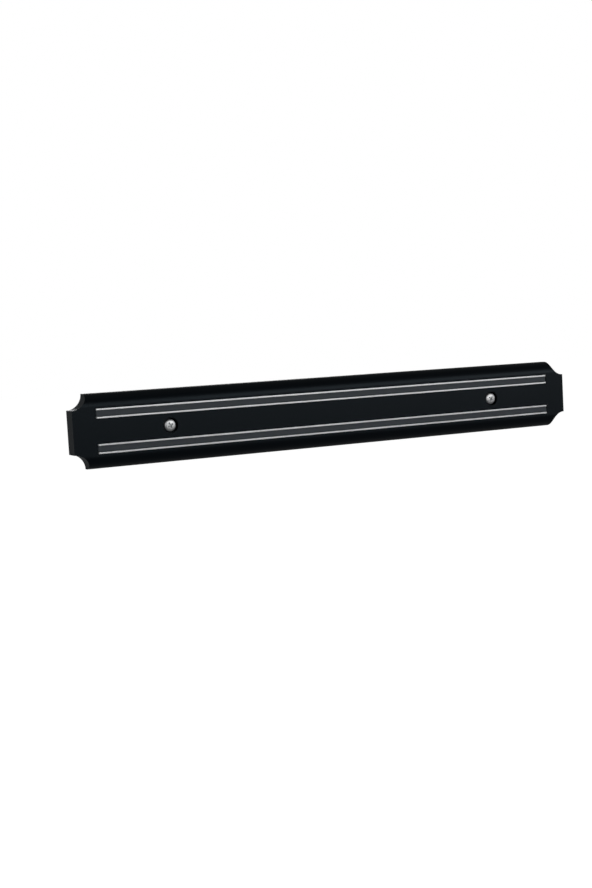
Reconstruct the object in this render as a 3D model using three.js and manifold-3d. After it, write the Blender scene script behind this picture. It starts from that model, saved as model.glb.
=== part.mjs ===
// A wall rack that holds knives by magnets: a moulded bar with two magnet bars set in its front.
// Each magnet bar is a row of ferrite blocks between two steel pole strips, closed by a facing strip.
// The pieces are drawn face on: X along the bar, Y up, Z out of the wall, with Z = 0 on the wall.
// The last group turns them into the part's frame: X along the bar, Z up, and the front towards -Y.
import * as THREE from "three";
import { mergeVertices } from "three/addons/utils/BufferGeometryUtils.js";
import Module from "manifold-3d";

const wasm = await Module();
wasm.setup();

// Driving dimensions, in millimetres
const LENGTH = 380; // along the wall
const HEIGHT = 48;
const DEPTH = 12; // from the wall to the flat front land
const EDGE_DEPTH = 3.5; // thickness left at the rolled long edges
const LAND_HALF_HEIGHT = 15.5; // where the flat front starts to roll back
const NOTCH_RADIUS = 10; // concave corner, centred on the corner of the bounding rectangle
const WALL = 2.2;
const REBATE_INSET = 1.2; // rim left round the rear cover
const COVER_THICKNESS = 2;
const FIT = 0.3; // gap between pieces that meet

const BAR_OFFSET = 11.2; // centre line of each magnet bar, above and below the middle
const BAR_LENGTH = 349; // length of a bar that shows at the front
const POLE_PITCH = 5.2; // between the middles of a bar's two pole strips
const POLE_THICKNESS = 1.1;
const POLE_PROUD = 0.3; // how far the steel stands out of the land
const POLE_TAB = 3; // hidden tab at each end of a strip, behind the front wall
const POLE_CORNER = 0.8; // rounding of a strip's front corners
const SIDE_FIT = 0.15; // gap beside the strips and blocks
const FACING_SUNK = 0.15; // how far the facing strip lies below the land
const FACING_DEPTH = 4.4;
const CHANNEL_WALL = 1.4;

const MAGNET_COUNT = 8; // in each bar
const MAGNET_LENGTH = 40;
const MAGNET_PITCH = 43.8;

const SCREW_SPACING = 250;
const SCREW_HEAD_RADIUS = 4.05;
const SCREW_HEAD_HEIGHT = 2.5;
const SCREW_HEAD_SUNK = 0.5; // from the land to the top of the head
const SCREW_RADIUS = 2;
const SCREW_LENGTH = 30; // under the head
const SCREW_POINT = 5;
const CROSS_WIDTH = 0.9;
const CROSS_LENGTH = 4.2;
const CROSS_DEPTH = 1.5;
const COUNTERBORE_RADIUS = 5.05;
const CLEARANCE_HOLE_RADIUS = 2.4;
const BOSS_RADIUS = 6.2;

const STAKE_RADIUS = 1.4; // pins of the body that are melted over the rear cover
const STAKE_HEAD_RADIUS = 2.4;
const STAKE_HEAD_THICKNESS = 0.6;
const STAKE_OFFSET = 18.8; // above and below the middle
const STAKE_PLACES = [-160, -88, 0, 88, 160];
const STAKE_SUNK = 0.3; // below the wall plane
const RIB_THICKNESS = 1.4;
const RIB_PLACES = [-178.9, -140, -110, -70, -35, 35, 70, 110, 140, 178.9];
const PANEL_SUNK = 0.5; // relief in the rear cover, so that only its pads touch the wall
const PANEL_HALF_HEIGHT = 14;
const PANEL_LENGTH = 88;
const PANEL_PLACES = [-62, 62];
const END_PANEL_LENGTH = 30;
const END_PANEL_PLACES = [-155, 155];

const ARC_STEPS = 14;
const ROUND_STEPS = 32;
const STAKE_STEPS = 16;

// Lengths worked out from the driving dimensions
const FRONT_INSIDE = DEPTH - WALL;
const LEDGE = COVER_THICKNESS + FIT; // inner structure ends here, clear of the rear cover
const POLE_OUTER = (POLE_PITCH + POLE_THICKNESS) / 2;
const POLE_INNER = (POLE_PITCH - POLE_THICKNESS) / 2;
const SLOT_HALF = POLE_OUTER + SIDE_FIT;
const INFILL_HEIGHT = 2 * (POLE_INNER - SIDE_FIT);
const TAB_HALF_LENGTH = BAR_LENGTH / 2 + POLE_TAB;
const TAB_TOP = FRONT_INSIDE - FIT;
const FACING_BACK = DEPTH - FACING_SUNK - FACING_DEPTH;
const HEAD_TOP = DEPTH - SCREW_HEAD_SUNK;
const HEAD_SEAT = HEAD_TOP - SCREW_HEAD_HEIGHT;
const STAKE_HEAD_FRONT = STAKE_SUNK + STAKE_HEAD_THICKNESS;
const OVERSHOOT = 1; // how far a cutting tool runs past the face that it cuts

// Materials

const BLACK_PLASTIC = new THREE.MeshStandardMaterial({ color: 0x15181b, roughness: 0.45, metalness: 0 });
const COVER_PLASTIC = new THREE.MeshStandardMaterial({ color: 0x1c1f22, roughness: 0.6, metalness: 0 });
const GREY_FACING = new THREE.MeshStandardMaterial({ color: 0x55595d, roughness: 0.6, metalness: 0 });
const POLE_STEEL = new THREE.MeshStandardMaterial({ color: 0xc8cbcf, roughness: 0.3, metalness: 1 });
const SCREW_STEEL = new THREE.MeshStandardMaterial({ color: 0xd0d2d4, roughness: 0.25, metalness: 1 });
const FERRITE = new THREE.MeshStandardMaterial({ color: 0x3a3b3d, roughness: 0.8, metalness: 0.1 });

// Solids: three.js geometry joined and cut with manifold-3d

function solid(geometry) {
  const bare = geometry.clone();
  bare.deleteAttribute("normal");
  bare.deleteAttribute("uv");
  const merged = mergeVertices(bare, 1e-4);
  return new wasm.Manifold(
    new wasm.Mesh({
      numProp: 3,
      vertProperties: merged.attributes.position.array,
      triVerts: new Uint32Array(merged.index.array),
    }),
  );
}

function geometryOf(made) {
  const mesh = made.getMesh();
  const geometry = new THREE.BufferGeometry();
  geometry.setAttribute("position", new THREE.BufferAttribute(mesh.vertProperties, 3));
  geometry.setIndex(new THREE.BufferAttribute(mesh.triVerts, 1));
  geometry.computeVertexNormals();
  return geometry;
}

// An outline in X and Y, made solid between two distances from the wall.
function slab(shape, back, front) {
  const options = { depth: front - back, bevelEnabled: false, curveSegments: ARC_STEPS };
  return solid(new THREE.ExtrudeGeometry(shape, options).translate(0, 0, back));
}

function block(width, height, back, front, x = 0, y = 0) {
  const box = new THREE.BoxGeometry(width, height, front - back);
  return solid(box.translate(x, y, (back + front) / 2));
}

function rod(radius, back, front, x = 0, y = 0, steps = ROUND_STEPS) {
  const cylinder = new THREE.CylinderGeometry(radius, radius, front - back, steps);
  return solid(cylinder.rotateX(Math.PI / 2).translate(x, y, (back + front) / 2));
}

// The bar's face-on outline, moved in by inset. Each corner is a concave arc round the bounding corner.
function notchedOutline(inset) {
  const radius = NOTCH_RADIUS + inset;
  const start = Math.asin(inset / radius);
  const quarter = Math.PI / 2;
  const shape = new THREE.Shape();
  const corners = [
    { x: 1, y: 1, from: 3 * quarter - start },
    { x: -1, y: 1, from: 4 * quarter - start },
    { x: -1, y: -1, from: quarter - start },
    { x: 1, y: -1, from: 2 * quarter - start },
  ];
  for (const { x, y, from } of corners) {
    const sweep = quarter - 2 * start;
    shape.absarc((x * LENGTH) / 2, (y * HEIGHT) / 2, radius, from, from - sweep, true);
  }
  return shape;
}

// The bar's cross-section: flat back, thin long edges, and elliptical rolls up to the flat front.
function sectionShape(inset, back) {
  const halfHeight = HEIGHT / 2 - inset;
  const front = DEPTH - inset;
  const rollHeight = halfHeight - LAND_HALF_HEIGHT;
  const rollDepth = DEPTH - EDGE_DEPTH;
  const edge = front - rollDepth;
  const shape = new THREE.Shape();
  shape.moveTo(-halfHeight, back);
  shape.lineTo(halfHeight, back);
  shape.absellipse(LAND_HALF_HEIGHT, edge, rollHeight, rollDepth, 0, Math.PI / 2, false);
  shape.absellipse(-LAND_HALF_HEIGHT, edge, rollHeight, rollDepth, Math.PI / 2, Math.PI, false);
  return shape;
}

// The bar's moulded form, moved in by inset: its cross-section run along X, cut to its outline.
function barForm(inset, back) {
  const options = { depth: LENGTH, bevelEnabled: false, curveSegments: ARC_STEPS };
  const run = new THREE.ExtrudeGeometry(sectionShape(inset, back), options);
  const turn = new THREE.Matrix4().makeBasis(
    new THREE.Vector3(0, 1, 0),
    new THREE.Vector3(0, 0, 1),
    new THREE.Vector3(1, 0, 0),
  );
  run.applyMatrix4(turn).translate(-LENGTH / 2, 0, 0);
  return solid(run).intersect(slab(notchedOutline(inset), back, DEPTH + OVERSHOOT));
}

// What comes in twos: the magnet bars, the screws, and the two rows of stakes

const SIDES = [
  { name: "upper", y: BAR_OFFSET },
  { name: "lower", y: -BAR_OFFSET },
];
const SCREWS = [
  { name: "left", x: -SCREW_SPACING / 2 },
  { name: "right", x: SCREW_SPACING / 2 },
];

function atStakes(radius, back, front) {
  const rows = [-STAKE_OFFSET, STAKE_OFFSET];
  return STAKE_PLACES.flatMap((x) => rows.map((y) => rod(radius, back, front, x, y, STAKE_STEPS)));
}

function bodyShell() {
  const inFrontWall = FRONT_INSIDE + WALL / 4;
  let body = barForm(0, 0).subtract(barForm(WALL, -OVERSHOOT));
  body = body.subtract(slab(notchedOutline(REBATE_INSET), -OVERSHOOT, LEDGE));

  // Cross ribs reach into the walls, and are trimmed to the moulded form.
  const ribs = RIB_PLACES.map((x) => block(RIB_THICKNESS, HEIGHT, LEDGE, DEPTH, x));
  const interior = barForm(WALL / 2, LEDGE);
  for (const rib of ribs) body = body.add(rib.intersect(interior));

  const channelLength = 2 * (TAB_HALF_LENGTH + FIT + CHANNEL_WALL);
  const channelHeight = 2 * (SLOT_HALF + CHANNEL_WALL);
  for (const { y } of SIDES) body = body.add(block(channelLength, channelHeight, LEDGE, inFrontWall, 0, y));
  for (const { x } of SCREWS) body = body.add(rod(BOSS_RADIUS, 0, inFrontWall, x));
  for (const stake of atStakes(STAKE_RADIUS, STAKE_SUNK, FRONT_INSIDE)) body = body.add(stake);
  for (const head of atStakes(STAKE_HEAD_RADIUS, STAKE_SUNK, STAKE_HEAD_FRONT)) body = body.add(head);

  for (const { y } of SIDES) {
    const pocketLength = 2 * (TAB_HALF_LENGTH + FIT);
    const slotLength = BAR_LENGTH + 2 * SIDE_FIT;
    body = body.subtract(block(pocketLength, 2 * SLOT_HALF, -OVERSHOOT, FRONT_INSIDE, 0, y));
    body = body.subtract(block(slotLength, 2 * SLOT_HALF, -OVERSHOOT, DEPTH + OVERSHOOT, 0, y));
  }
  for (const { x } of SCREWS) {
    body = body.subtract(rod(COUNTERBORE_RADIUS, HEAD_SEAT - FIT, DEPTH + OVERSHOOT, x));
    body = body.subtract(rod(CLEARANCE_HOLE_RADIUS, -OVERSHOOT, DEPTH, x));
  }
  return geometryOf(body);
}

function rearCover() {
  let cover = slab(notchedOutline(REBATE_INSET + FIT), 0, COVER_THICKNESS);
  const panels = [
    ...PANEL_PLACES.map((x) => ({ x, length: PANEL_LENGTH })),
    ...END_PANEL_PLACES.map((x) => ({ x, length: END_PANEL_LENGTH })),
  ];
  for (const { x, length } of panels) {
    cover = cover.subtract(block(length, 2 * PANEL_HALF_HEIGHT, -OVERSHOOT, PANEL_SUNK, x));
  }
  for (const { x } of SCREWS) cover = cover.subtract(rod(BOSS_RADIUS + FIT, -OVERSHOOT, LEDGE, x));
  for (const hole of atStakes(STAKE_RADIUS + FIT, -OVERSHOOT, LEDGE)) cover = cover.subtract(hole);
  const seatDepth = STAKE_HEAD_FRONT + FIT;
  for (const seat of atStakes(STAKE_HEAD_RADIUS + FIT, -OVERSHOOT, seatDepth)) cover = cover.subtract(seat);
  return geometryOf(cover);
}

// A strip set on edge, seen from above: its front shows in the slot, its end tabs hook behind the wall.
function tabbedStrip(back, front, height, y) {
  const half = BAR_LENGTH / 2;
  const shape = new THREE.Shape();
  shape.moveTo(-TAB_HALF_LENGTH, back);
  shape.lineTo(TAB_HALF_LENGTH, back);
  shape.lineTo(TAB_HALF_LENGTH, TAB_TOP);
  shape.lineTo(half, TAB_TOP);
  shape.absarc(half - POLE_CORNER, front - POLE_CORNER, POLE_CORNER, 0, Math.PI / 2, false);
  shape.absarc(-half + POLE_CORNER, front - POLE_CORNER, POLE_CORNER, Math.PI / 2, Math.PI, false);
  shape.lineTo(-half, TAB_TOP);
  shape.lineTo(-TAB_HALF_LENGTH, TAB_TOP);
  const options = { depth: height, bevelEnabled: false, curveSegments: 4 };
  const strip = new THREE.ExtrudeGeometry(shape, options);
  return strip.translate(0, 0, -height / 2).rotateX(Math.PI / 2).translate(0, y, 0);
}

function magnet(x, y) {
  const back = LEDGE + FIT;
  const front = FACING_BACK - FIT;
  const box = new THREE.BoxGeometry(MAGNET_LENGTH, INFILL_HEIGHT, front - back);
  return box.translate(x, y, (back + front) / 2);
}

// A pan-head wood screw pointing into the wall, with a cross recess in its head.
function wallScrew(x) {
  const tip = HEAD_SEAT - SCREW_LENGTH;
  const profile = new THREE.Path();
  profile.moveTo(0, tip);
  profile.lineTo(SCREW_RADIUS, tip + SCREW_POINT);
  profile.lineTo(SCREW_RADIUS, HEAD_SEAT);
  profile.lineTo(SCREW_HEAD_RADIUS, HEAD_SEAT);
  profile.lineTo(SCREW_HEAD_RADIUS, HEAD_SEAT + SCREW_HEAD_HEIGHT / 2);
  profile.quadraticCurveTo(SCREW_HEAD_RADIUS, HEAD_TOP, 0, HEAD_TOP);
  const turned = new THREE.LatheGeometry(profile.getPoints(8), ROUND_STEPS);
  const along = solid(turned.rotateX(Math.PI / 2));
  const arms = [
    block(CROSS_LENGTH, CROSS_WIDTH, HEAD_TOP - CROSS_DEPTH, HEAD_TOP + OVERSHOOT),
    block(CROSS_WIDTH, CROSS_LENGTH, HEAD_TOP - CROSS_DEPTH, HEAD_TOP + OVERSHOOT),
  ];
  const cut = along.subtract(arms[0]).subtract(arms[1]);
  return geometryOf(cut).translate(x, 0, 0);
}

const rack = new THREE.Group();
rack.rotation.x = Math.PI / 2;

function place(name, geometry, material) {
  const mesh = new THREE.Mesh(geometry, material);
  mesh.name = name;
  rack.add(mesh);
}

place("body_shell", bodyShell(), BLACK_PLASTIC);
place("rear_cover", rearCover(), COVER_PLASTIC);
for (const { name, y } of SIDES) {
  const poleBack = LEDGE + FIT;
  const poleFront = DEPTH + POLE_PROUD;
  for (const [edge, sign] of [["top", 1], ["bottom", -1]]) {
    const poleY = y + (sign * POLE_PITCH) / 2;
    place(`pole_strip_${name}_${edge}`, tabbedStrip(poleBack, poleFront, POLE_THICKNESS, poleY), POLE_STEEL);
  }
  const facing = tabbedStrip(FACING_BACK, DEPTH - FACING_SUNK, INFILL_HEIGHT, y);
  place(`facing_strip_${name}`, facing, GREY_FACING);
  for (let i = 0; i < MAGNET_COUNT; i++) {
    const x = (i - (MAGNET_COUNT - 1) / 2) * MAGNET_PITCH;
    place(`magnet_${name}_${i + 1}`, magnet(x, y), FERRITE);
  }
}
for (const { name, x } of SCREWS) place(`wall_screw_${name}`, wallScrew(x), SCREW_STEEL);

export default rack;
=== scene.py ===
"""A wall rack that holds knives by magnets, dressed for rendering.

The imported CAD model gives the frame: X along the bar, Z up, the front towards -Y and the wall at Y = 0.
Each piece is rebuilt here with rounded edges and a procedural material, and stands for its CAD node.
Shapes are drawn in millimetres as (x, height, distance from the wall) and turned into the frame at the end.
"""

import math

import bmesh
import bpy
from mathutils import Matrix, Vector


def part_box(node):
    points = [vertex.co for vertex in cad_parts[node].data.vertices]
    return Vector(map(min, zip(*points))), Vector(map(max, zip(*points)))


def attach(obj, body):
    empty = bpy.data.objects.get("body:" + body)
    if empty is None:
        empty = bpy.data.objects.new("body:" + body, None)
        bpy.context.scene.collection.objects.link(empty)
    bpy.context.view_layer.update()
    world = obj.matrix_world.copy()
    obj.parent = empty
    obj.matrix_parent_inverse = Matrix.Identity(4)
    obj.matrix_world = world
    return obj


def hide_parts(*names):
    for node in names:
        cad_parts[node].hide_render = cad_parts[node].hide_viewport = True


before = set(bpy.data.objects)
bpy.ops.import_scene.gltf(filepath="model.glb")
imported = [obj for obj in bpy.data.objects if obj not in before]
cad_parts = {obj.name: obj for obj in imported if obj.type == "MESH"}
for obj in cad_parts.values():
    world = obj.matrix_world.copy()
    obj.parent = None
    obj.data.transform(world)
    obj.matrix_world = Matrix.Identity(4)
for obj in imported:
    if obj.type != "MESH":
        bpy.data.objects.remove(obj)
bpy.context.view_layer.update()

MM = 0.001
BODY = "root"
QUARTER = math.pi / 2

# Sizes from the frame

body_low, body_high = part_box("body_shell")
LENGTH = (body_high.x - body_low.x) / MM
HEIGHT = (body_high.z - body_low.z) / MM
DEPTH = (body_high.y - body_low.y) / MM

pole_low, pole_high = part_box("pole_strip_upper_top")
POLE_FRONT = -pole_low.y / MM
POLE_BACK = -pole_high.y / MM
POLE_THICKNESS = (pole_high.z - pole_low.z) / MM
TAB_HALF_LENGTH = pole_high.x / MM

facing_low, facing_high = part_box("facing_strip_upper")
FACING_FRONT = -facing_low.y / MM
FACING_BACK = -facing_high.y / MM
FACING_HEIGHT = (facing_high.z - facing_low.z) / MM
BAR_OFFSET = (facing_high.z + facing_low.z) / 2 / MM
POLE_PITCH = (pole_high.z + pole_low.z) / MM - 2 * BAR_OFFSET

screw_low, screw_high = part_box("wall_screw_right")
SCREW_X = (screw_low.x + screw_high.x) / 2 / MM
SCREW_HEAD_RADIUS = (screw_high.x - screw_low.x) / 2 / MM
HEAD_TOP = -screw_low.y / MM
SCREW_TIP = -screw_high.y / MM

cover_low, cover_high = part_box("rear_cover")
COVER_THICKNESS = (cover_high.y - cover_low.y) / MM
COVER_INSET = (body_high.x - cover_high.x) / MM

# Sizes that repeat the CAD part's own, with finer ones for the screw's neck, thread and recess

EDGE_DEPTH = 3.5
LAND_HALF_HEIGHT = 15.5
NOTCH_RADIUS = 10
WALL = 2.2
REBATE_INSET = 1.2
FIT = 0.3
SIDE_FIT = 0.15
BAR_LENGTH = 349
MAGNETS_PER_BAR = 8
POLE_CORNER = 0.8
CHANNEL_WALL = 1.4
SCREW_HEAD_HEIGHT = 2.5
HEAD_SEAT = HEAD_TOP - SCREW_HEAD_HEIGHT
SHANK_NECK = 8  # plain shank under the head
SCREW_PITCH = 1.8
SCREW_CORE = 1.35
SCREW_RADIUS = 2
SCREW_POINT = 5
CROSS_ARM = 2.15
CROSS_HALF_WIDTH = 0.42
COUNTERBORE_RADIUS = 5.05
CLEARANCE_HOLE_RADIUS = 2.4
BOSS_RADIUS = 6.2
STAKE_RADIUS = 1.4
STAKE_HEAD_RADIUS = 2.4
STAKE_HEAD_THICKNESS = 0.6
STAKE_OFFSET = 18.8
STAKE_PLACES = [-160, -88, 0, 88, 160]
STAKE_SUNK = 0.3
RIB_THICKNESS = 1.4
RIB_PLACES = [-178.9, -140, -110, -70, -35, 35, 70, 110, 140, 178.9]
PANEL_SUNK = 0.5
PANEL_HALF_HEIGHT = 14
PANELS = [(-155, 30), (-62, 88), (62, 88), (155, 30)]  # middle and length
FRONT_INSIDE = DEPTH - WALL
LEDGE = COVER_THICKNESS + FIT
SLOT_HALF = (POLE_PITCH + POLE_THICKNESS) / 2 + SIDE_FIT
TAB_TOP = FRONT_INSIDE - FIT

# Roundings that only the looks have, and the steps that curves are drawn in

FORM_EDGE = 0.45
MOUTH_ROUND = 0.22
STRIP_EDGE = 0.14
COVER_EDGE = 0.25
MAGNET_EDGE = 0.3
ROLL_STEPS = 28
NOTCH_STEPS = 26
MOUTH_STEPS = 4

# Distances that keep joins and cuts clean

PAST = 1.0  # how far a cutting shape runs past the face that it cuts
LAP = 0.1  # how far a joined shape runs into its neighbour
APART = 0.01  # keeps two faces of joined shapes out of one plane


# Meshes. A point is (x, height, out), with out measured from the wall towards the front.


def new_object(name, points, faces):
    mesh = bpy.data.meshes.new(name)
    mesh.from_pydata(points, [], faces)
    mesh.update()
    made = bpy.data.objects.new(name, mesh)
    bpy.context.scene.collection.objects.link(made)
    tidy = bmesh.new()
    tidy.from_mesh(mesh)
    bmesh.ops.recalc_face_normals(tidy, faces=tidy.faces)
    tidy.to_mesh(mesh)
    tidy.free()
    return made


def loft(name, loops):
    """Closed loops of equal length joined in order, with a flat cap on the first and the last."""
    count = len(loops[0])
    points = [point for loop in loops for point in loop]
    faces = [list(range(count))[::-1]]
    for row in range(len(loops) - 1):
        for i in range(count):
            j = (i + 1) % count
            faces.append([row * count + i, row * count + j, (row + 1) * count + j, (row + 1) * count + i])
    faces.append([(len(loops) - 1) * count + i for i in range(count)])
    return new_object(name, points, faces)


def prism(name, outline, back, front):
    """An outline of (x, height) points made solid between two distances from the wall."""
    return loft(name, [[(x, h, out) for x, h in outline] for out in (back, front)])


def lathe(name, profile, x=0, height=0, steps=48):
    """A profile of (radius, out) points turned about an axis that runs straight out of the wall."""
    loops = []
    for radius, out in profile:
        loops.append([(*point, out) for point in circle(radius, x, height, steps)])
    return loft(name, loops)


def rectangle(half_length, half_height, x=0, height=0):
    corners = [(-1, -1), (1, -1), (1, 1), (-1, 1)]
    return [(x + a * half_length, height + b * half_height) for a, b in corners]


def circle(radius, x=0, height=0, steps=64):
    turns = [2 * math.pi * i / steps for i in range(steps)]
    return [(x + radius * math.cos(a), height + radius * math.sin(a)) for a in turns]


def block(name, length, high, back, front, x=0, height=0):
    return prism(name, rectangle(length / 2, high / 2, x, height), back, front)


def apply_modifiers(piece):
    depsgraph = bpy.context.evaluated_depsgraph_get()
    depsgraph.update()
    solid = piece.evaluated_get(depsgraph)
    mesh = bpy.data.meshes.new_from_object(solid, preserve_all_data_layers=True, depsgraph=depsgraph)
    piece.modifiers.clear()
    old = piece.data
    piece.data = mesh
    bpy.data.meshes.remove(old)


def combine(target, tool, operation):
    """Joins, cuts or intersects target with tool, and removes the tool."""
    change = target.modifiers.new("combine", "BOOLEAN")
    change.operation = operation
    change.solver = "EXACT"
    change.object = tool
    apply_modifiers(target)
    bpy.data.objects.remove(tool)
    return target


def round_edges(piece, width, steps=3, angle=30):
    bevel = piece.modifiers.new("round", "BEVEL")
    bevel.width = width
    bevel.segments = steps
    bevel.limit_method = "ANGLE"
    bevel.angle_limit = math.radians(angle)
    bevel.use_clamp_overlap = True
    bevel.miter_outer = "MITER_ARC"
    apply_modifiers(piece)


def to_frame(piece, name, sharp=35):
    """Turns a piece from drawing millimetres into the frame's metres and shades it smooth, edges apart."""
    mesh = piece.data
    cleaned = bmesh.new()
    cleaned.from_mesh(mesh)
    bmesh.ops.remove_doubles(cleaned, verts=cleaned.verts, dist=1e-4)
    bmesh.ops.dissolve_degenerate(cleaned, dist=1e-4, edges=cleaned.edges)
    cleaned.to_mesh(mesh)
    cleaned.free()
    turn = Matrix(((1, 0, 0, 0), (0, 0, -1, 0), (0, 1, 0, 0), (0, 0, 0, 1)))
    mesh.transform(Matrix.Scale(MM, 4) @ turn)
    mesh.shade_smooth()
    mesh.set_sharp_from_angle(angle=math.radians(sharp))
    even = piece.modifiers.new("even", "WEIGHTED_NORMAL")
    even.weight = 100
    even.keep_sharp = True
    apply_modifiers(piece)
    piece.name = name
    piece.data.name = name
    return piece


# Outlines


def notched_outline(inset):
    """The bar's face-on outline moved in by inset, each corner a concave arc round the bounding corner."""
    radius = NOTCH_RADIUS + inset
    start = math.asin(inset / radius)
    points = []
    corners = [(1, 1, 3), (-1, 1, 4), (-1, -1, 1), (1, -1, 2)]
    for side, up, quarters in corners:
        first = quarters * QUARTER - start
        sweep = QUARTER - 2 * start
        for i in range(NOTCH_STEPS + 1):
            a = first - sweep * i / NOTCH_STEPS
            x = side * LENGTH / 2 + radius * math.cos(a)
            points.append((x, up * HEIGHT / 2 + radius * math.sin(a)))
    return points


def section(inset, back):
    """The bar's cross-section as (height, out): flat back, thin long edges, rolls, and flat front."""
    half = HEIGHT / 2 - inset
    roll_height = half - LAND_HALF_HEIGHT
    roll_depth = DEPTH - EDGE_DEPTH
    edge = DEPTH - inset - roll_depth
    points = [(-half, back), (half, back)]
    turns = [QUARTER * i / ROLL_STEPS for i in range(ROLL_STEPS + 1)]
    for a in turns:
        points.append((LAND_HALF_HEIGHT + roll_height * math.cos(a), edge + roll_depth * math.sin(a)))
    for a in reversed(turns):
        points.append((-LAND_HALF_HEIGHT - roll_height * math.cos(a), edge + roll_depth * math.sin(a)))
    return points


def bar_form(inset, back):
    """The bar's moulded form, moved in by inset: its section run along X and cut to its outline."""
    reach = LENGTH / 2 + PAST
    run = loft("form", [[(x, h, out) for h, out in section(inset, back)] for x in (-reach, reach)])
    return combine(run, prism("cut", notched_outline(inset), back - PAST, DEPTH + PAST), "INTERSECT")


def flared(outline_at, back, front):
    """A cutting shape whose mouth at front is rounded: outline_at(grow) is its outline grown by grow."""
    loops = [[(x, h, back) for x, h in outline_at(0)]]
    for i in range(MOUTH_STEPS + 1):
        a = QUARTER * i / MOUTH_STEPS
        grow = MOUTH_ROUND * (1 - math.cos(a))
        out = front - MOUTH_ROUND * (1 - math.sin(a))
        loops.append([(x, h, out) for x, h in outline_at(grow)])
    loops.append([(x, h, front + PAST) for x, h in outline_at(MOUTH_ROUND)])
    return loft("mouth", loops)


# Pieces


def stake_places():
    return [(x, side * STAKE_OFFSET) for x in STAKE_PLACES for side in (-1, 1)]


def stake_head(x, height):
    """The melted head of a stake, domed towards the wall."""
    top = STAKE_SUNK + STAKE_HEAD_THICKNESS
    rim = STAKE_SUNK + 0.35 * STAKE_HEAD_THICKNESS
    profile = []
    dome_steps = 6
    for i in range(1, dome_steps + 1):
        a = QUARTER * i / dome_steps
        profile.append((STAKE_HEAD_RADIUS * math.sin(a), rim - (rim - STAKE_SUNK) * math.cos(a)))
    profile.append((STAKE_HEAD_RADIUS, top))
    return lathe("stake_head", profile, x, height, 32)


def make_body():
    body = bar_form(0, 0)
    round_edges(body, FORM_EDGE)
    combine(body, bar_form(WALL, -PAST), "DIFFERENCE")
    combine(body, prism("rebate", notched_outline(REBATE_INSET), -PAST, LEDGE), "DIFFERENCE")
    in_wall = FRONT_INSIDE + WALL / 4
    for x in RIB_PLACES:
        rib = block("rib", RIB_THICKNESS, HEIGHT, LEDGE, DEPTH, x)
        combine(rib, bar_form(WALL / 2, LEDGE - APART), "INTERSECT")
        combine(body, rib, "UNION")
    pocket_half = TAB_HALF_LENGTH + FIT
    for side in (-1, 1):
        height = side * BAR_OFFSET
        channel = block("channel", 2 * (pocket_half + CHANNEL_WALL), 2 * (SLOT_HALF + CHANNEL_WALL),
                        LEDGE, in_wall, 0, height)
        combine(body, channel, "UNION")
    for x in (-SCREW_X, SCREW_X):
        combine(body, lathe("boss", [(BOSS_RADIUS, 0), (BOSS_RADIUS, in_wall)], x), "UNION")
    for x, height in stake_places():
        pin = lathe("pin", [(STAKE_RADIUS, STAKE_SUNK + LAP), (STAKE_RADIUS, FRONT_INSIDE)], x, height, 24)
        combine(body, pin, "UNION")
        combine(body, stake_head(x, height), "UNION")
    for side in (-1, 1):
        height = side * BAR_OFFSET
        pocket = block("pocket", 2 * pocket_half, 2 * SLOT_HALF, -PAST, FRONT_INSIDE, 0, height)
        combine(body, pocket, "DIFFERENCE")
        half = BAR_LENGTH / 2 + SIDE_FIT
        mouth = flared(lambda grow: rectangle(half + grow, SLOT_HALF + grow, 0, height), TAB_TOP, DEPTH)
        combine(body, mouth, "DIFFERENCE")
    for x in (-SCREW_X, SCREW_X):
        mouth = flared(lambda grow: circle(COUNTERBORE_RADIUS + grow, x), HEAD_SEAT - FIT, DEPTH)
        combine(body, mouth, "DIFFERENCE")
        hole = lathe("hole", [(CLEARANCE_HOLE_RADIUS, -PAST), (CLEARANCE_HOLE_RADIUS, DEPTH)], x)
        combine(body, hole, "DIFFERENCE")
    return to_frame(body, "body")


def make_cover():
    cover = prism("cover", notched_outline(COVER_INSET), 0, COVER_THICKNESS)
    round_edges(cover, COVER_EDGE)
    for middle, length in PANELS:
        panel = block("panel", length, 2 * PANEL_HALF_HEIGHT, -PAST, PANEL_SUNK, middle)
        combine(cover, panel, "DIFFERENCE")
    for x in (-SCREW_X, SCREW_X):
        radius = BOSS_RADIUS + FIT
        combine(cover, lathe("hole", [(radius, -PAST), (radius, LEDGE)], x), "DIFFERENCE")
    for x, height in stake_places():
        seat = STAKE_SUNK + STAKE_HEAD_THICKNESS + FIT
        for radius, front in ((STAKE_HEAD_RADIUS + FIT, seat), (STAKE_RADIUS + FIT, LEDGE)):
            hole = lathe("hole", [(radius, -PAST), (radius, front)], x, height, 32)
            combine(cover, hole, "DIFFERENCE")
    return to_frame(cover, "back_cover")


def strip_outline(back, front):
    """A strip seen from above as (x, out): rounded front corners, and end tabs behind the front wall."""
    half = BAR_LENGTH / 2
    corner_steps = 6
    turns = [QUARTER * i / corner_steps for i in range(corner_steps + 1)]
    right = [(TAB_HALF_LENGTH, back), (TAB_HALF_LENGTH, TAB_TOP), (half, TAB_TOP)]
    for a in turns:
        x = half - POLE_CORNER + POLE_CORNER * math.cos(a)
        right.append((x, front - POLE_CORNER + POLE_CORNER * math.sin(a)))
    return right + [(-x, out) for x, out in reversed(right)]


def make_strip(name, back, front, thickness, height):
    outline = strip_outline(back, front)
    edges = (height - thickness / 2, height + thickness / 2)
    strip = loft(name, [[(x, h, out) for x, out in outline] for h in edges])
    round_edges(strip, STRIP_EDGE, 3, 40)
    return to_frame(strip, name)


def make_magnet(name, node):
    """A ferrite block with its edges ground off."""
    low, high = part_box(node)
    middle = (low + high) / 2 / MM
    size = (high - low) / MM
    magnet = block(name, size.x, size.z, -high.y / MM, -low.y / MM, middle.x, middle.z)
    round_edges(magnet, MAGNET_EDGE, 2)
    return to_frame(magnet, name, 25)


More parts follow.
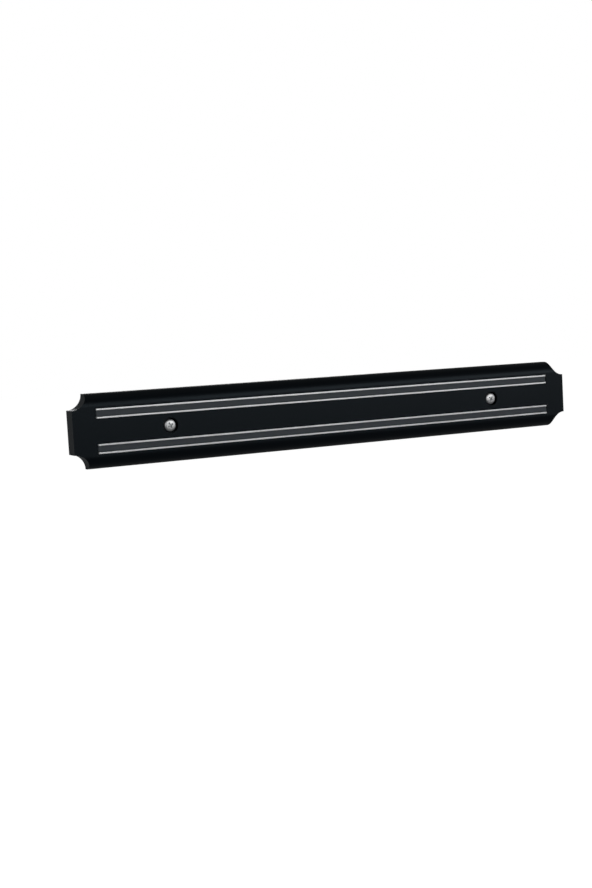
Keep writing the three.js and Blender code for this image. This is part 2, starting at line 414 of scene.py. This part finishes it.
def thread_radius(out, angle):
    """The radius of the screw's threaded shank at a distance from the wall and an angle round its axis."""
    fade = 2.5  # length over which the thread runs out
    crest_share = 0.3  # a crest's half width as a share of the pitch
    neck_radius = SCREW_RADIUS - 0.25
    tip_radius = 0.02
    thread_top = HEAD_SEAT - SHANK_NECK
    if out > thread_top:
        return SCREW_CORE + (neck_radius - SCREW_CORE) * min(1, (out - thread_top) / fade)
    phase = (out / SCREW_PITCH - angle / (2 * math.pi)) % 1
    crest = max(0, 1 - abs(phase - 0.5) / crest_share)
    height = (SCREW_RADIUS - SCREW_CORE) * min(1, (thread_top - out) / fade)
    taper = min(1, (out - SCREW_TIP) / SCREW_POINT)
    return max(tip_radius, taper * (SCREW_CORE + height * crest))


def screw_profile():
    """The head from its underside to its crown as (radius, out)."""
    crown_steps = 14
    middle = (HEAD_SEAT + HEAD_TOP) / 2
    rounding = [(0.25, 0), (0.07, 0.08), (0, 0.25)]
    points = [(SCREW_HEAD_RADIUS - inward, HEAD_SEAT + up) for inward, up in rounding]
    for i in range(crown_steps):
        t = i / crown_steps
        points.append((SCREW_HEAD_RADIUS * (1 - t * t), middle + (HEAD_TOP - middle) * (2 - t) * t))
    return points


def cross_outline(scale):
    """A cross recess's outline at a share of its full size. Its arms narrow less than they shorten."""
    arm = CROSS_ARM * scale
    half = CROSS_HALF_WIDTH * (0.35 + 0.65 * scale)
    quarter = [(arm, -half), (arm, half), (half, half)]
    turned = []
    for i in range(4):
        c, s = round(math.cos(i * QUARTER)), round(math.sin(i * QUARTER))
        turned += [(x * c - y * s, x * s + y * c) for x, y in quarter]
    return turned


def make_screw(name, x, turn):
    """A wood screw turned by turn degrees about its axis, with a cross recess that narrows inwards."""
    steps = 40
    rows = 200
    turns = [2 * math.pi * i / steps for i in range(steps)]
    loops = []
    for row in range(rows + 1):
        out = SCREW_TIP + (HEAD_SEAT - SCREW_TIP) * row / rows
        radii = [thread_radius(out, a) for a in turns]
        loops.append([(r * math.cos(a), r * math.sin(a), out) for r, a in zip(radii, turns)])
    for radius, out in screw_profile():
        loops.append([(*point, out) for point in circle(radius, steps=steps)])
    screw = loft(name, loops)
    levels = [(0.3, -1.6), (0.85, -0.25), (1.0, -0.1), (1.08, 0.3)]  # share of full size, above the crown
    loops = [[(*point, HEAD_TOP + above) for point in cross_outline(share)] for share, above in levels]
    recess = loft("recess", loops)
    combine(screw, recess, "DIFFERENCE")
    screw.data.transform(Matrix.Translation((x, 0, 0)) @ Matrix.Rotation(math.radians(turn), 4, "Z"))
    return to_frame(screw, name, 40)


# Camera: where the photograph was taken from, left of the rack and a little above it, in degrees and mm

VIEW_YAW = 26.18
VIEW_DROP = 4.47
VIEW_ROLL = -3.21
VIEW_DISTANCE = 866.2
VIEW_AIM = (-36.97, -14.0, -19.41)
LENS = 52.04


def make_camera():
    data = bpy.data.cameras.new("camera")
    data.lens = LENS
    data.sensor_width = 36
    camera = bpy.data.objects.new("camera", data)
    bpy.context.scene.collection.objects.link(camera)
    yaw, drop, roll = (math.radians(v) for v in (VIEW_YAW, VIEW_DROP, VIEW_ROLL))
    ahead = Vector((math.sin(yaw) * math.cos(drop), math.cos(yaw) * math.cos(drop), -math.sin(drop)))
    level = Vector((math.cos(yaw), -math.sin(yaw), 0))
    up = level.cross(ahead)
    right = math.cos(roll) * level + math.sin(roll) * up
    top = -math.sin(roll) * level + math.cos(roll) * up
    place = (Vector(VIEW_AIM) - ahead * VIEW_DISTANCE) * MM
    camera.matrix_world = Matrix.Translation(place) @ Matrix((right, top, -ahead)).transposed().to_4x4()
    bpy.context.scene.camera = camera


# Materials. Texture sizes are in metres, on the frame's own coordinates.


class Surface:
    """A material under construction: a Principled shader and the nodes that feed it."""

    def __init__(self, name, roughness, metallic=0.0, specular=0.5):
        self.material = bpy.data.materials.new(name)
        self.material.use_nodes = True
        self.nodes = self.material.node_tree.nodes
        self.links = self.material.node_tree.links
        self.shader = self.nodes["Principled BSDF"]
        self.shader.inputs["Roughness"].default_value = roughness
        self.shader.inputs["Metallic"].default_value = metallic
        self.shader.inputs["Specular IOR Level"].default_value = specular
        self.place = self.nodes.new("ShaderNodeTexCoord")
        self.last_bump = None

    def link(self, source, target):
        self.links.new(source, target)

    def noise(self, size, detail=3.0, rough=0.55, stretch=(1, 1, 1), offset=(0, 0, 0)):
        """Noise from 0 to 1 whose features are about size metres across, drawn out by stretch."""
        mapping = self.nodes.new("ShaderNodeMapping")
        mapping.inputs["Scale"].default_value = [1 / (size * s) for s in stretch]
        mapping.inputs["Location"].default_value = offset
        texture = self.nodes.new("ShaderNodeTexNoise")
        texture.inputs["Scale"].default_value = 1.0
        texture.inputs["Detail"].default_value = detail
        texture.inputs["Roughness"].default_value = rough
        self.link(self.place.outputs["Object"], mapping.inputs["Vector"])
        self.link(mapping.outputs["Vector"], texture.inputs["Vector"])
        return texture.outputs["Fac"]

    def remap(self, value, low, high, out_low, out_high):
        """value from low..high to out_low..out_high, held at the ends."""
        node = self.nodes.new("ShaderNodeMapRange")
        node.inputs["From Min"].default_value = low
        node.inputs["From Max"].default_value = high
        node.inputs["To Min"].default_value = out_low
        node.inputs["To Max"].default_value = out_high
        self.link(value, node.inputs["Value"])
        return node.outputs["Result"]

    def math(self, operation, a, b):
        node = self.nodes.new("ShaderNodeMath")
        node.operation = operation
        for socket, value in zip(node.inputs, (a, b)):
            if isinstance(value, (int, float)):
                socket.default_value = value
            else:
                self.link(value, socket)
        return node.outputs["Value"]

    def mix(self, share, first, second):
        """A colour from first to second by share. Each is a colour or another mix."""
        node = self.nodes.new("ShaderNodeMix")
        node.data_type = "RGBA"
        self.link(share, node.inputs["Factor"])
        for socket, value in ((node.inputs["A"], first), (node.inputs["B"], second)):
            if isinstance(value, tuple):
                socket.default_value = (*value, 1.0)
            else:
                self.link(value, socket)
        return node.outputs["Result"]

    def edges(self, radius):
        """1 near a convex or concave edge and 0 on open faces."""
        open_face, edge = 0.998, 0.9  # cosine between a face's normal and the rounded one
        rounded = self.nodes.new("ShaderNodeBevel")
        rounded.samples = 4
        rounded.inputs["Radius"].default_value = radius
        true = self.nodes.new("ShaderNodeNewGeometry")
        product = self.nodes.new("ShaderNodeVectorMath")
        product.operation = "DOT_PRODUCT"
        self.link(rounded.outputs["Normal"], product.inputs[0])
        self.link(true.outputs["Normal"], product.inputs[1])
        return self.remap(product.outputs["Value"], open_face, edge, 0.0, 1.0)

    def bump(self, height, depth, strength=1.0):
        """Relief of depth metres. A second call adds to the first."""
        node = self.nodes.new("ShaderNodeBump")
        node.inputs["Strength"].default_value = strength
        node.inputs["Distance"].default_value = depth
        self.link(height, node.inputs["Height"])
        if self.last_bump is not None:
            self.link(self.last_bump, node.inputs["Normal"])
        self.last_bump = node.outputs["Normal"]
        self.link(self.last_bump, self.shader.inputs["Normal"])

    def colour(self, source):
        self.link(source, self.shader.inputs["Base Color"])

    def roughness(self, source):
        self.link(source, self.shader.inputs["Roughness"])


def black_plastic():
    """Satin injection-moulded plastic: spark-eroded grain, faint flow mottling, and polished edges."""
    s = Surface("black_plastic", 0.4, specular=0.19)
    s.shader.inputs["Specular Tint"].default_value = (0.70, 0.87, 1.0, 1)
    mottle = s.noise(0.03, 4, 0.6, (3, 1, 1))
    fine = s.noise(0.0011, 3)
    tone = s.mix(s.remap(mottle, 0.3, 0.7, 0, 1), (0.0023, 0.0033, 0.0047), (0.0030, 0.0042, 0.0058))
    worn = s.math("MULTIPLY", s.edges(0.0005), s.remap(s.noise(0.006, 5, 0.7), 0.42, 0.62, 0.15, 1))
    s.colour(s.mix(worn, tone, (0.020, 0.022, 0.025)))
    satin = s.math("ADD", s.remap(mottle, 0.3, 0.7, 0.39, 0.41), s.remap(fine, 0.3, 0.7, -0.03, 0.03))
    s.roughness(s.math("SUBTRACT", satin, s.math("MULTIPLY", worn, 0.06)))
    s.bump(s.noise(0.0006, 4, 0.6), 0.00001, 0.5)
    s.bump(s.noise(0.012, 2, 0.5, (2, 1, 1)), 0.00002, 0.1)
    return s.material


def cover_plastic():
    """The hidden plate's coarser, duller moulding, scuffed where it bears on the wall."""
    s = Surface("cover_plastic", 0.6, specular=0.3)
    cloud = s.noise(0.02, 5, 0.65)
    scuffs = s.noise(0.004, 6, 0.7, (6, 1, 1), (3, 1, 7))
    tone = s.mix(s.remap(cloud, 0.3, 0.7, 0, 1), (0.035, 0.037, 0.040), (0.048, 0.0505, 0.054))
    rubbed = s.math("MULTIPLY", s.edges(0.0005), s.remap(scuffs, 0.45, 0.6, 0.1, 1))
    s.colour(s.mix(rubbed, tone, (0.075, 0.078, 0.082)))
    s.roughness(s.remap(scuffs, 0.35, 0.65, 0.5, 0.66))
    s.bump(s.noise(0.0008, 4, 0.6), 0.00003, 0.6)
    return s.material


def grey_facing():
    """Matt dark grey filling strip with a fine, slightly streaked surface."""
    s = Surface("grey_facing", 0.6, specular=0.3)
    streaks = s.noise(0.002, 5, 0.6, (14, 1, 1))
    grains = s.noise(0.0007, 3)
    tone = s.mix(s.remap(streaks, 0.3, 0.7, 0, 1), (0.065, 0.076, 0.086), (0.083, 0.096, 0.108))
    s.colour(s.mix(s.remap(grains, 0.55, 0.8, 0, 0.5), tone, (0.11, 0.125, 0.138)))
    s.roughness(s.remap(streaks, 0.3, 0.7, 0.55, 0.7))
    s.bump(grains, 0.00001, 0.6)
    return s.material


def pole_steel():
    """Bright strip steel ground along its length."""
    s = Surface("pole_steel", 0.35, metallic=1.0)
    grind = s.noise(0.00022, 4, 0.7, (90, 1, 1))
    cloud = s.noise(0.012, 4, 0.6, (3, 1, 1))
    tone = s.mix(s.remap(grind, 0.3, 0.7, 0, 1), (0.76, 0.77, 0.785), (0.95, 0.955, 0.96))
    s.colour(s.mix(s.remap(cloud, 0.55, 0.75, 0, 0.35), tone, (0.70, 0.705, 0.715)))
    s.roughness(s.math("ADD", s.remap(grind, 0.25, 0.75, 0.3, 0.46), s.remap(cloud, 0.3, 0.7, -0.03, 0.03)))
    s.bump(grind, 0.000008, 0.6)
    return s.material


def screw_steel():
    """Zinc-plated steel, a little clouded and stained."""
    s = Surface("screw_steel", 0.25, metallic=1.0)
    cloud = s.noise(0.0015, 4, 0.6)
    blotch = s.noise(0.004, 3, 0.5, offset=(4, 2, 9))
    tone = s.mix(s.remap(cloud, 0.3, 0.7, 0, 1), (0.70, 0.71, 0.72), (0.84, 0.845, 0.85))
    s.colour(s.mix(s.remap(blotch, 0.55, 0.75, 0, 0.4), tone, (0.66, 0.645, 0.60)))
    s.roughness(s.remap(cloud, 0.3, 0.7, 0.38, 0.5))
    s.bump(s.noise(0.0004, 3), 0.000006, 0.5)
    return s.material


def ferrite():
    """Sintered ferrite: charcoal grey, ground faces, grainy, with paler worn edges."""
    s = Surface("ferrite", 0.75, specular=0.35)
    grains = s.noise(0.0005, 5, 0.7)
    cloud = s.noise(0.008, 4)
    tone = s.mix(s.remap(cloud, 0.3, 0.7, 0, 1), (0.028, 0.028, 0.030), (0.045, 0.044, 0.044))
    chipped = s.math("MULTIPLY", s.edges(0.0004), s.remap(s.noise(0.002, 4), 0.45, 0.6, 0, 1))
    s.colour(s.mix(chipped, tone, (0.09, 0.088, 0.085)))
    s.roughness(s.remap(grains, 0.3, 0.7, 0.62, 0.85))
    s.bump(grains, 0.00002, 0.8)
    return s.material


# Staging: a pale floor far below, and soft lights

ROOM_LEVEL = 0.115
ROOM_DEPTH = 0.07  # gain from the middle of the room to its far end, behind the rack
ROOM_RISE = -0.045  # gain from the middle of the room to its ceiling
ROOM_COLOUR = (0.95, 0.98, 1.0)
FLOOR_HALF = 20.0  # metres
FLOOR_HEIGHT = -0.6


def make_world():
    """Pure white to the camera. To the object it is a dim room, a little lighter below and behind."""
    world = bpy.data.worlds.new("studio")
    bpy.context.scene.world = world
    world.use_nodes = True
    nodes, links = world.node_tree.nodes, world.node_tree.links
    place = nodes.new("ShaderNodeTexCoord")
    split = nodes.new("ShaderNodeSeparateXYZ")
    links.new(place.outputs["Generated"], split.inputs[0])

    def sum_of(value, factor, rest):
        node = nodes.new("ShaderNodeMath")
        node.operation = "MULTIPLY_ADD"
        links.new(value, node.inputs[0])
        node.inputs[1].default_value = factor
        if isinstance(rest, float):
            node.inputs[2].default_value = rest
        else:
            links.new(rest, node.inputs[2])
        return node.outputs[0]

    level = sum_of(split.outputs["Z"], ROOM_RISE, sum_of(split.outputs["Y"], ROOM_DEPTH, ROOM_LEVEL))
    room = nodes["Background"]
    room.inputs["Color"].default_value = (*ROOM_COLOUR, 1)
    links.new(level, room.inputs["Strength"])
    seen = nodes.new("ShaderNodeBackground")
    seen.inputs["Color"].default_value = (1, 1, 1, 1)
    path = nodes.new("ShaderNodeLightPath")
    choose = nodes.new("ShaderNodeMixShader")
    links.new(path.outputs["Is Camera Ray"], choose.inputs["Fac"])
    links.new(room.outputs[0], choose.inputs[1])
    links.new(seen.outputs[0], choose.inputs[2])
    links.new(choose.outputs[0], nodes["World Output"].inputs["Surface"])


def make_floor():
    """A plain near-white floor well below the rack, which shades into the white background."""
    mesh = bpy.data.meshes.new("floor")
    corners = [(x, y, FLOOR_HEIGHT) for x, y in rectangle(FLOOR_HALF, FLOOR_HALF)]
    mesh.from_pydata(corners, [], [(0, 1, 2, 3)])
    floor = bpy.data.objects.new("floor", mesh)
    bpy.context.scene.collection.objects.link(floor)
    s = Surface("floor", 0.8, specular=0.0)
    s.colour(s.mix(s.noise(0.4, 3), (0.30, 0.30, 0.30), (0.31, 0.31, 0.31)))
    s.shader.inputs["Emission Color"].default_value = (1, 1, 1, 1)
    s.shader.inputs["Emission Strength"].default_value = 0.99
    mesh.materials.append(s.material)
    floor.visible_glossy = False
    floor.visible_diffuse = False


def card(name, azimuth, elevation, distance, size, radiance):
    """A soft light of even radiance that faces the rack, azimuth degrees right of straight ahead of it."""
    data = bpy.data.lights.new(name, "AREA")
    data.shape = "RECTANGLE"
    data.size, data.size_y = size
    data.energy = radiance * math.pi * data.size * data.size_y
    light = bpy.data.objects.new(name, data)
    bpy.context.scene.collection.objects.link(light)
    a, e = math.radians(azimuth), math.radians(elevation)
    level = distance * math.cos(e)
    light.location = (level * math.sin(a), -level * math.cos(a), distance * math.sin(e))
    light.rotation_mode = "QUATERNION"
    light.rotation_quaternion = (-light.location).to_track_quat("-Z", "Y")


def make_lights():
    card("front_card", 26, 12.5, 1.7, (2.2, 0.6), 2.3)
    card("left_card", -38, 12, 1.8, (1.0, 0.7), 1.0)
    card("overhead", 10, 78, 1.5, (1.2, 0.5), 0.15)
    card("rear_left", -125, 15, 1.8, (1.0, 1.0), 0.6)
    card("rear_right", 162, 8, 1.8, (0.8, 0.8), 2.6)


make_camera()
make_world()
make_floor()
make_lights()
bpy.context.scene.view_settings.view_transform = "Standard"

MATERIALS = {
    "black_plastic": black_plastic(),
    "cover_plastic": cover_plastic(),
    "grey_facing": grey_facing(),
    "pole_steel": pole_steel(),
    "screw_steel": screw_steel(),
    "ferrite": ferrite(),
}


def dress(piece, node, slot):
    """Gives a piece its material, lets it ride on the body and stand for its CAD node."""
    piece.data.materials.clear()
    piece.data.materials.append(MATERIALS[slot])
    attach(piece, BODY)
    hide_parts(node)


dress(make_body(), "body_shell", "black_plastic")
dress(make_cover(), "rear_cover", "cover_plastic")
for bar, side in (("upper", 1), ("lower", -1)):
    for edge, way in (("top", 1), ("bottom", -1)):
        height = side * BAR_OFFSET + way * POLE_PITCH / 2
        pole = make_strip(f"pole_{bar}_{edge}", POLE_BACK, POLE_FRONT, POLE_THICKNESS, height)
        dress(pole, f"pole_strip_{bar}_{edge}", "pole_steel")
    facing = make_strip(f"facing_{bar}", FACING_BACK, FACING_FRONT, FACING_HEIGHT, side * BAR_OFFSET)
    dress(facing, f"facing_strip_{bar}", "grey_facing")
    for i in range(1, MAGNETS_PER_BAR + 1):
        node = f"magnet_{bar}_{i}"
        dress(make_magnet(f"ferrite_{bar}_{i}", node), node, "ferrite")
dress(make_screw("screw_left", -SCREW_X, 28), "wall_screw_left", "screw_steel")
dress(make_screw("screw_right", SCREW_X, 52), "wall_screw_right", "screw_steel")
